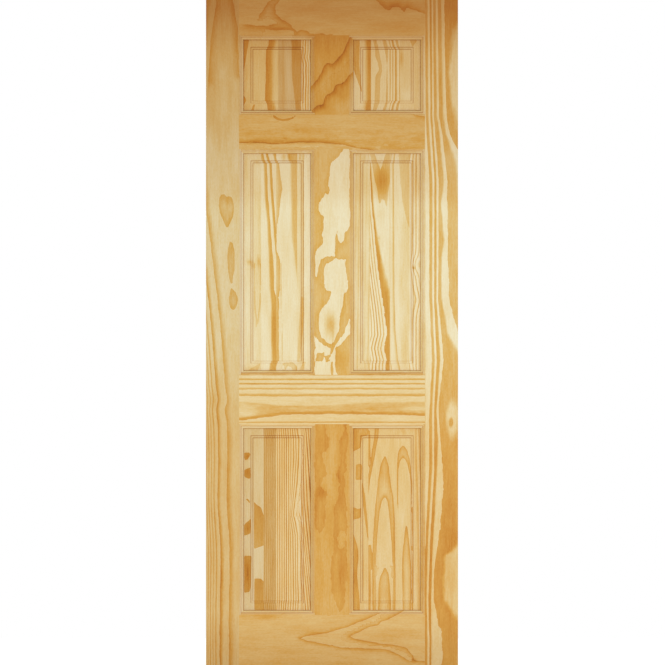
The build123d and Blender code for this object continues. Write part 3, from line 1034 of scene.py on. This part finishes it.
            (0.1, 575), (0.3, 623), (1, ((733, 633), (600, 635), (510, 639), (328, 642), (165, 643))),
            (2, ((733, 640), (600, 644), (510, 650), (165, 651))), (3, 661),
        ),
        shades=(
            Swell(597, 655, 12, 15, 0.1), Swell(605, 416, 5, 18, 0.1), Swell(599, 715, 5, 12, 0.2, 25),
            Swell(581, 715, 3, 18, 0.15), Swell(630, 328, 2.4, 151, 0.12),
        ),
        veins=(
            (
                (627, 159), (626, 449), (624, 558), (620, 603), (615, 634), (608, 661), (597, 675), (587, 667),
                (581, 652), (578, 634), (576, 570), (576, 498),
            ),
            (
                (581, 498), (582, 600), (587, 628), (596, 638), (603, 631), (609, 618), (617, 582), (621, 540),
                (622, 449), (623, 374),
            ),
            (
                (621, 159), (621, 292), (618, 343), (614, 389), (609, 428), (605, 436), (601, 410), (596, 364),
                (593, 328), (594, 237), (595, 159),
            ),
        ),
    ),
}


def spaced(start: float, stop: float, step: float) -> Array:
    """Even places from start to stop, no further apart than the step."""
    return np.linspace(start, stop, max(2, int(np.ceil(abs(stop - start) / step)) + 1))


def grid_faces(rows: int, columns: int, first: int = 0, closed: bool = False) -> Array:
    """Quads of a grid whose vertices are stored row by row.

    Args:
        rows, columns: vertices each way.
        first: number of the grid's first vertex.
        closed: whether the last row joins the first.

    Returns:
        Vertex numbers, four to a row of the array.
    """
    i = np.arange(rows if closed else rows - 1)[:, None]
    j = np.arange(columns - 1)[None, :]
    following = (i + 1) % rows
    corners = (i * columns + j, following * columns + j, following * columns + j + 1, i * columns + j + 1)
    return first + np.stack([np.broadcast_to(c, (i.size, j.size)) for c in corners], -1).reshape(-1, 4)


def make_piece(
    name: str, points: Array, faces: list[list[int]], fields: dict[str, Array], smooth_angle: float,
) -> bpy.types.Object:
    """Puts worked-out points and faces into a mesh, with a value of each field on each vertex.

    Args:
        name: name of the piece.
        points: vertices in mm, one a row.
        faces: vertex numbers of each face.
        fields: values at the vertices by attribute name.
        smooth_angle: edges bent by less than this, in degrees, are shaded smooth.

    Returns:
        The new object, at the origin.
    """
    mesh = bpy.data.meshes.new(name)
    mesh.from_pydata((points * MM).tolist(), [], faces)
    for key, values in fields.items():
        mesh.attributes.new(key, "FLOAT", "POINT").data.foreach_set("value", values.astype(np.float32))
    mesh.shade_smooth()
    mesh.set_sharp_from_angle(angle=np.radians(smooth_angle))
    mesh.update()
    piece = bpy.data.objects.new(name, mesh)
    bpy.context.scene.collection.objects.link(piece)
    return piece


def hand_over(piece: bpy.types.Object, node: str) -> None:
    """Gives a piece its board's finish, lets it stand for its node and reports it.

    Args:
        piece: the new piece.
        node: name of the node that it stands for.
    """
    board = BOARDS[node]
    piece.data.materials.append(board.pine.material(f"clear_pine_{node}", board.grain))
    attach(piece, "root")
    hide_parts(node)
    log.info("%s: %d faces", piece.name, len(piece.data.polygons))


@dataclass
class Moulding:
    """The moulding on a member's inner edges, with the panel groove behind it."""

    width: float = 13.0
    fillet: float = 5.0
    fillet_drop: float = 1.5
    quirk_drop: float = 1.2
    lip: float = 3.5
    groove_width: float = 9.5
    groove_depth: float = 12.0
    tenon_gap: float = 1.0
    paler: float = 0.2  # how much paler in tone the moulded wood is drawn than the face
    # Share of the painted shade on a rail's upper moulding, which faces up away from the low light, and on its lower
    # one
    gathered: tuple[float, float] = (1.5, 0.8)
    # Height over mid-thickness, and how much painted shade is laid there, darkest in the quirks and at the lip
    pooling: tuple[tuple[float, float], ...] = (
        (4.75, 0.8), (8.25, 0.6), (9.5, 0), (14.2, 0), (14.8, 0.6), (15.9, 0.3), (16, 0.1), (17, 0.4), (17.5, 0),
    )

    def section(self) -> tuple[Array, Array, Array]:
        """Front half of the section, from the face to the groove's floor.

        The ovolo is an arc that starts along the face at the quirk and ends at the lip: its radius r
        solves run squared plus (r - drop) squared = r squared.

        Returns:
            Distance from the face line towards the edge, height over mid-thickness, and how far a
            coped end at that height passes the neighbour's sight line.
        """
        ledge = HALF_THICKNESS - self.fillet_drop
        crown = ledge - self.quirk_drop
        lip = self.groove_width / 2 + self.lip
        run, drop = self.width - self.fillet, crown - lip
        radius = (run**2 + drop**2) / (2 * drop)
        turn = np.linspace(np.pi / 2, np.arcsin((radius - drop) / radius), 12)
        arc_s, arc_y = self.fillet + radius * np.cos(turn), crown - radius + radius * np.sin(turn)
        wall = self.groove_width / 2
        s = np.concatenate([(0, 0, 0, self.fillet), arc_s, (self.width, self.width - self.groove_depth)])
        y = np.concatenate([(HALF_THICKNESS, ledge + CREASE, ledge, ledge), arc_y, (wall, wall)])
        past = self.width - s
        past[2], past[-1] = self.width - self.fillet, self.groove_depth - self.tenon_gap
        return s, y, past


@dataclass
class FrameMember:
    """A stile, rail or muntin: its section carried along its length.

    Attributes:
        node: name of the node that it stands for.
        low, high: its edges across the grain, over the mouldings.
        start, stop: the neighbours' sight lines, or a stile's own ends.
        moulded_low, moulded_high: whether each edge is moulded.
        coped: whether its ends are coped over the neighbours' mouldings.
        ease: radius of a stile's softened outer arrises.
        smooth: edges bent by less than this, in degrees, are shaded smooth.
    """

    node: str
    low: float
    high: float
    start: float
    stop: float
    moulded_low: bool = True
    moulded_high: bool = True
    coped: bool = True
    ease: float = 1.0
    smooth: float = 20.0
    moulding: Moulding = field(default_factory=Moulding)

    def side(self, moulded: bool) -> tuple[Array, Array, Array]:
        """One edge from front to back: distance inside the edge, place through, and reach past the end.

        A moulded edge follows the moulding. A plain edge of a coped member is flat, with places at
        which the cope turns, and that of a stile has eased arrises, a quarter round at each face.
        """
        s, y, past = self.moulding.section()
        if moulded:
            inside = self.moulding.width - s
        elif self.coped:
            inside, y = np.zeros_like(s), y - CREASE * np.arange(s.size)
        else:
            turn = np.linspace(np.pi / 2, 0, 5)
            flat = spaced(HALF_THICKNESS - self.ease, 0, STEP_ACROSS)[1:]
            inside = np.concatenate([self.ease * (1 - np.cos(turn)), np.zeros_like(flat)])
            y = np.concatenate([HALF_THICKNESS - self.ease * (1 - np.sin(turn)), flat])
            past = np.zeros_like(y)
        mirror = slice(None, None, -1) if y[-1] > THIN else slice(-2, None, -1)
        return (
            np.concatenate([inside, inside[mirror]]),
            np.concatenate([-y, y[mirror]]),
            np.concatenate([past, past[mirror]]),
        )

    def section(self) -> tuple[Array, Array, Array]:
        """The closed section: place across, place through, and how far its line passes each end."""
        high_in, high_y, high_past = self.side(self.moulded_high)
        low_in, low_y, low_past = self.side(self.moulded_low)
        face = spaced(self.low + low_in[0], self.high - high_in[0], STEP_ACROSS)[1:-1]
        front = np.full_like(face, HALF_THICKNESS)
        reach = np.full_like(face, high_past[0])
        across = np.concatenate([face, self.high - high_in, face[::-1], self.low + low_in[::-1]])
        through = np.concatenate([-front, high_y, front, low_y[::-1]])
        past = np.concatenate([reach, high_past, reach, low_past[::-1]])
        return across, through, past if self.coped else np.zeros_like(past)

    def end_faces(self, rows: int) -> list[Array]:
        """Faces of one end, as places in the section: a stile's is one flat face.

        A coped end is ruled across: each of its faces joins two neighbouring places on both sides.
        The first and the last take in the places on the member's front and back, and those next to
        the quirks the width of the fillets, which end in the same plane.

        Args:
            rows: number of places in the section.

        Returns:
            The places at the corners of each face.
        """
        if not self.coped:
            return [np.arange(rows)]
        side = self.side(True)[0].size
        face = np.arange(rows // 2 - side)
        high, low = face.size + np.arange(side), rows - 1 - np.arange(side)
        front = np.concatenate([face, high[:2], low[1::-1]])
        back = np.concatenate([high[-2:], high[-1] + 1 + face, low[:-3:-1]])
        turns = np.setdiff1d(np.arange(1, side - 1), (FILLET_LINE, side - 1 - FILLET_LINE))
        runs = [slice(first, last + 1) for first, last in zip(turns[:-1], turns[1:])]
        between = [np.concatenate([high[run], low[run][::-1]]) for run in runs]
        return [front, *between, back]

    def build(self) -> bpy.types.Object:
        """Carries the section from end to end: along = start - past + share of the length."""
        board = BOARDS[self.node]
        across, through, past = self.section()
        share = np.linspace(0, 1, int(np.ceil((self.stop - self.start) / STEP_ALONG)) + 1)
        along = (self.start - past)[:, None] + (self.stop - self.start + 2 * past)[:, None] * share
        across, through = (np.broadcast_to(v[:, None], along.shape) for v in (across, through))
        x, z = (across, along) if board.grain is Grain.UPRIGHT else (along, across)
        points = np.stack([x, through, z], -1).reshape(-1, 3)
        rows, columns = along.shape
        ends = [face * columns for face in self.end_faces(rows)]
        caps = [end[::-1].tolist() for end in ends] + [(end + columns - 1).tolist() for end in ends]
        faces = grid_faces(rows, columns, closed=True).tolist() + caps
        if board.grain is Grain.LEVEL:
            faces = [face[::-1] for face in faces]
        fields = board.fields(x.ravel(), z.ravel(), through.ravel() + HALF_THICKNESS)
        height = np.abs(through.ravel())
        near_low, near_high = (v.ravel() < self.moulding.width for v in (across - self.low, self.high - across))
        moulded = (near_low & self.moulded_low) | (near_high & self.moulded_high)
        # Painted shade in the creases of the moulded edges, more on a rail's up-facing moulding
        fields["painted_shade"] = np.interp(height, *zip(*self.moulding.pooling)) * moulded
        if board.grain is Grain.LEVEL:
            fields["painted_shade"] *= np.where(z.ravel() > (self.low + self.high) / 2, *self.moulding.gathered)
        fields["shade"] -= self.moulding.paler * moulded * (height < HALF_THICKNESS - self.moulding.fillet_drop / 2)
        piece = make_piece(f"{self.node}_board", points, faces, fields, self.smooth)
        hand_over(piece, self.node)
        if not self.coped:
            piece.data.materials.append(PineEndGrain().material(f"pine_end_grain_{self.node}"))
            for cap in piece.data.polygons[-2:]:
                cap.material_index = 1
        return piece


@dataclass
class RaisedPanel:
    """A raised panel with a double hip, glued up from staves.

    Attributes:
        name: name of the panel.
        left, right, foot, head: its edges, in the grooves.
        glue_lines: places of the joints between its staves.
        slopes_from: distance from the edge past which the painted shade is weighted by the way a slope faces.
        smooth: edges bent by less than this, in degrees, are shaded smooth.
    """

    name: str
    left: float
    right: float
    foot: float
    head: float
    glue_lines: tuple[float, ...]
    slopes_from: float = 14.0
    smooth: float = 3.0
    # Distance from the panel's edge, and half the thickness there
    rise: tuple[tuple[float, float], ...] = (
        (0, 4.6), (9, 4.6), (31, 6.7), (32.2, 7.7), (37.2, 8.1), (38.4, 9.5),
    )
    # Share of the painted shade on the slopes at the head, at the sides and at the foot, darkest where the slopes
    # face up away from the low light
    gathered: tuple[float, float, float] = (1.0, 0.85, 0.3)
    # Distance from the panel's edge, and how much painted shade is laid there, at the sight line and the foot of each
    # hip
    pooling: tuple[tuple[float, float], ...] = (
        (9, 0.9), (10.6, 0), (30.2, 0), (31, 1), (32.2, 0.6), (32.9, 0), (36.4, 0), (37.2, 1), (38.4, 0.6), (39.1, 0),
    )

    # Distances from the panel's edge of the grid's lines in each corner
    corner: tuple[float, ...] = (
        0, 4.5, 9, 10.6, 14, 18, 22, 26, 30.2, 31, 32.2, 32.9, 36.4, 37.2, 38.4, 39.1,
    )

    def stations(self, low: float, high: float, step: float) -> Array:
        """Places of the grid's lines from edge to edge, with the same ones in each corner."""
        corner = np.array(self.corner)
        field_lines = spaced(low + corner[-1], high - corner[-1], step)[1:-1]
        return np.concatenate([low + corner, field_lines, high - corner[::-1]])

    def inside(self, x: Array, z: Array) -> Array:
        """Distance from the nearest edge of the panel."""
        return np.minimum(np.minimum(x - self.left, self.right - x), np.minimum(z - self.foot, self.head - z))

    def build(self) -> None:
        """Builds and dresses each stave."""
        edges = (self.left, *self.glue_lines, self.right)
        for number, (left, right) in enumerate(zip(edges, edges[1:]), start=1):
            self.build_stave(f"{self.name}_panel_stave_{number}", left, right)

    def build_stave(self, node: str, left: float, right: float) -> bpy.types.Object:
        """Builds one stave: a front and a back sheet at plus and minus half the thickness, and a rim.

        Args:
            node: name of the node that it stands for.
            left, right: its edges across the panel.

        Returns:
            The dressed stave.
        """
        across = self.stations(self.left, self.right, STEP_ACROSS)
        across = np.concatenate([(left,), across[(across > left + CLEAR) & (across < right - CLEAR)], (right,)])
        along = self.stations(self.foot, self.head, STEP_ALONG)
        x, z = (v.ravel() for v in np.meshgrid(across, along, indexing="ij"))
        inside = self.inside(x, z)
        half, painted_shade = (np.interp(inside, *zip(*steps)) for steps in (self.rise, self.pooling))
        # The painted shade on each slope is weighted by the side of the panel that it faces
        nearest = np.stack([self.head - z, np.minimum(x - self.left, self.right - x), z - self.foot]).argmin(0)
        painted_shade = painted_shade * np.where(inside > self.slopes_from, np.array(self.gathered)[nearest], 1)
        rows, columns = across.size, along.size
        quads = grid_faces(rows, columns)
        middle = x[quads].mean(1) - (self.left + self.right) / 2, z[quads].mean(1) - (self.foot + self.head) / 2
        quads = np.where((middle[0] * middle[1] > 0)[:, None], quads, np.roll(quads, 1, axis=1))
        front = np.concatenate([quads[:, (0, 1, 2)], quads[:, (0, 2, 3)]])
        back = front[:, ::-1] + x.size
        number = np.arange(x.size).reshape(rows, columns)
        rim = np.concatenate([number[:, 0], number[-1, 1:], number[-2::-1, -1], number[0, -2:0:-1]])
        after = np.roll(rim, -1)
        rim_faces = np.stack([rim, rim + x.size, after + x.size, after], -1)
        points = np.concatenate([np.stack([x, -half, z], -1), np.stack([x, half, z], -1)])
        fields = BOARDS[node].fields(points[:, 0], points[:, 2], points[:, 1] + self.rise[-1][1])
        fields["painted_shade"] = np.concatenate([painted_shade, painted_shade])
        faces = front.tolist() + back.tolist() + rim_faces.tolist()
        piece = make_piece(f"{node}_board", points, faces, fields, self.smooth)
        hand_over(piece, node)
        return piece


@dataclass
class DoorLeaf:
    """The whole leaf, by the places of its sight lines."""

    width: float = LEAF_WIDTH
    height: float = LEAF_HEIGHT
    across: tuple[float, float, float, float] = (113.0, 316.5, 445.5, 649.0)
    rows: tuple[tuple[str, float, float], ...] = (
        ("upper", 1688.0, 1902.0), ("middle", 901.0, 1558.0), ("lower", 175.0, 726.0),
    )
    tongue: float = 9.0
    glue_lines: dict[str, tuple[float, ...]] = field(default_factory=lambda: {
        "upper_left": (218.0, 287.5), "upper_right": (499.0, 552.0, 587.0),
        "middle_left": (166.5, 212.0, 275.5), "middle_right": (496.0, 555.5, 615.5),
        "lower_left": (174.0, 212.0), "lower_right": (491.0, 577.5),
    })

    def members(self) -> list[FrameMember]:
        """The stiles, rails and muntins, from the left and from the head down."""
        left, muntin_left, muntin_right, right = self.across
        (_, upper_foot, upper_head), (_, middle_foot, middle_head), (_, lower_foot, lower_head) = self.rows
        stiles = [
            FrameMember("left_stile", 0, left, 0, self.height, moulded_low=False, coped=False),
            FrameMember("right_stile", right, self.width, 0, self.height, moulded_high=False, coped=False),
        ]
        rails = [
            FrameMember("top_rail", upper_head, self.height, left, right, moulded_high=False),
            FrameMember("frieze_rail", middle_head, upper_foot, left, right),
            FrameMember("lock_rail", lower_head, middle_foot, left, right),
            FrameMember("bottom_rail", 0, lower_foot, left, right, moulded_low=False),
        ]
        muntins = [
            FrameMember(f"{row}_muntin", muntin_left, muntin_right, foot, head)
            for row, foot, head in self.rows
        ]
        return stiles + rails + muntins

    def panels(self) -> list[RaisedPanel]:
        """The six raised panels, their tongues in the grooves."""
        left, muntin_left, muntin_right, right = self.across
        columns = (("left", left, muntin_left), ("right", muntin_right, right))
        return [
            RaisedPanel(
                f"{row}_{column}", low - self.tongue, high + self.tongue, foot - self.tongue, head + self.tongue,
                self.glue_lines[f"{row}_{column}"],
            )
            for row, foot, head in self.rows
            for column, low, high in columns
        ]

    def build(self) -> None:
        """Builds every board."""
        for part in self.members() + self.panels():
            part.build()


@dataclass
class Studio:
    """Plain pale floor, soft light from the front and back, and the camera in front of the leaf.

    Attributes:
        ambient: strength of the light from all round.
        lamps: name, watts and place in m of each lamp, of lamp_size m.
        distance, frame_width: of the camera from the leaf, and of what it takes in there, in m.
        sensor: width of the camera's sensor in mm.
        aim: place in m that the lamps and the camera face.
        floor_size: half the floor across and through, in m.
        floor_glow: how much brighter the camera sees the floor, so that it meets the white.
    """

    ambient: float = 0.64
    lamps: tuple[tuple[str, float, tuple[float, float, float]], ...] = (
        ("front_lamp", 54.0, (0.9, -3.8, 0.3)), ("back_lamp", 60.0, (-0.9, 3.8, 1.9)),
    )
    lamp_size: float = 1.6
    distance: float = 10.0
    frame_width: float = 2.0108
    sensor: float = 36.0
    aim: tuple[float, float, float] = (0.3825, -0.0175, 1.0161)
    floor_size: tuple[float, float] = (1.2, 0.96)
    floor_glow: float = 0.4

    def light(self) -> None:
        """White world for the camera, soft ambient light, and a large lamp on each side."""
        world = bpy.data.worlds.new("studio_world")
        bpy.context.scene.world = world
        world.use_nodes = True
        tree = world.node_tree
        tree.nodes.clear()
        path = add_node(tree, "LightPath").outputs
        seen = path["Is Camera Ray"]
        for ray in ("Is Glossy Ray", "Is Transmission Ray"):
            seen = add_node(tree, "Math", "MAXIMUM", seen, path[ray])
        soft = add_node(tree, "Background", Color=(1, 1, 1, 1), Strength=self.ambient)
        white = add_node(tree, "Background", Color=(1, 1, 1, 1), Strength=1.0)
        mix = add_node(tree, "MixShader", "", seen, soft, white)
        add_node(tree, "OutputWorld", Surface=mix)
        for name, power, place in self.lamps:
            lamp = bpy.data.lights.new(name, "AREA")
            lamp.energy, lamp.shape, lamp.size = power, "SQUARE", self.lamp_size
            holder = bpy.data.objects.new(name, lamp)
            holder.location = place
            to_leaf = np.array(self.aim) - np.array(place)
            yaw = np.arctan2(-to_leaf[0], to_leaf[1])
            pitch = np.arctan2(to_leaf[2], np.hypot(to_leaf[0], to_leaf[1])) + np.pi / 2
            holder.rotation_euler = (pitch, 0, yaw)
            bpy.context.scene.collection.objects.link(holder)

    def floor(self) -> None:
        """A pale floor that keeps the leaf's shadow."""
        across, through = (size * np.linspace(-1, 1, 3) for size in self.floor_size)
        x, y = (v.ravel() for v in np.meshgrid(across + LEAF_WIDTH / 2 * MM, through, indexing="ij"))
        mesh = bpy.data.meshes.new("studio_floor")
        mesh.from_pydata(np.stack([x, y, np.zeros_like(x)], -1).tolist(), [], grid_faces(3, 3).tolist())
        material = bpy.data.materials.new("pale_studio_floor")
        material.use_nodes = True
        tree = material.node_tree
        tree.nodes.clear()
        seen = add_node(tree, "LightPath").outputs["Is Camera Ray"]
        matt = add_node(tree, "BsdfDiffuse", Color=linear("f4f4f4"))
        glow = add_node(tree, "Emission", Color=(1, 1, 1, 1), Strength=self.floor_glow)
        lift = add_node(tree, "AddShader", "", matt, glow)
        mix = add_node(tree, "MixShader", "", seen, matt, lift)
        add_node(tree, "OutputMaterial", Surface=mix)
        mesh.materials.append(material)
        floor = bpy.data.objects.new("studio_floor", mesh)
        bpy.context.scene.collection.objects.link(floor)
        floor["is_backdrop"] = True

    def camera(self) -> None:
        """A long lens square on to the leaf, framed as the photograph is."""
        data = bpy.data.cameras.new("camera")
        data.sensor_width = self.sensor
        data.lens = self.sensor * self.distance / self.frame_width
        data.clip_end = 100.0
        camera = bpy.data.objects.new("camera", data)
        camera.location = (self.aim[0], self.aim[1] - self.distance, self.aim[2])
        camera.rotation_euler = (np.pi / 2, 0, 0)
        bpy.context.scene.collection.objects.link(camera)
        bpy.context.scene.camera = camera

    def build(self) -> None:
        """Sets up the light, the floor and the camera."""
        bpy.context.scene.view_settings.view_transform = "Standard"
        self.light()
        self.floor()
        self.camera()


def main() -> None:
    """Builds the leaf and the studio, and works out the box before and after."""
    logging.basicConfig(level=logging.INFO, format="%(name)s: %(message)s")
    DoorLeaf().build()
    Studio().build()
    boxes = {"cad": CAD_BOX, "visual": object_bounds()}
    boxes = {name: [list(map(float, corner)) for corner in box] for name, box in boxes.items()}


if __name__ == "__main__":
    main()
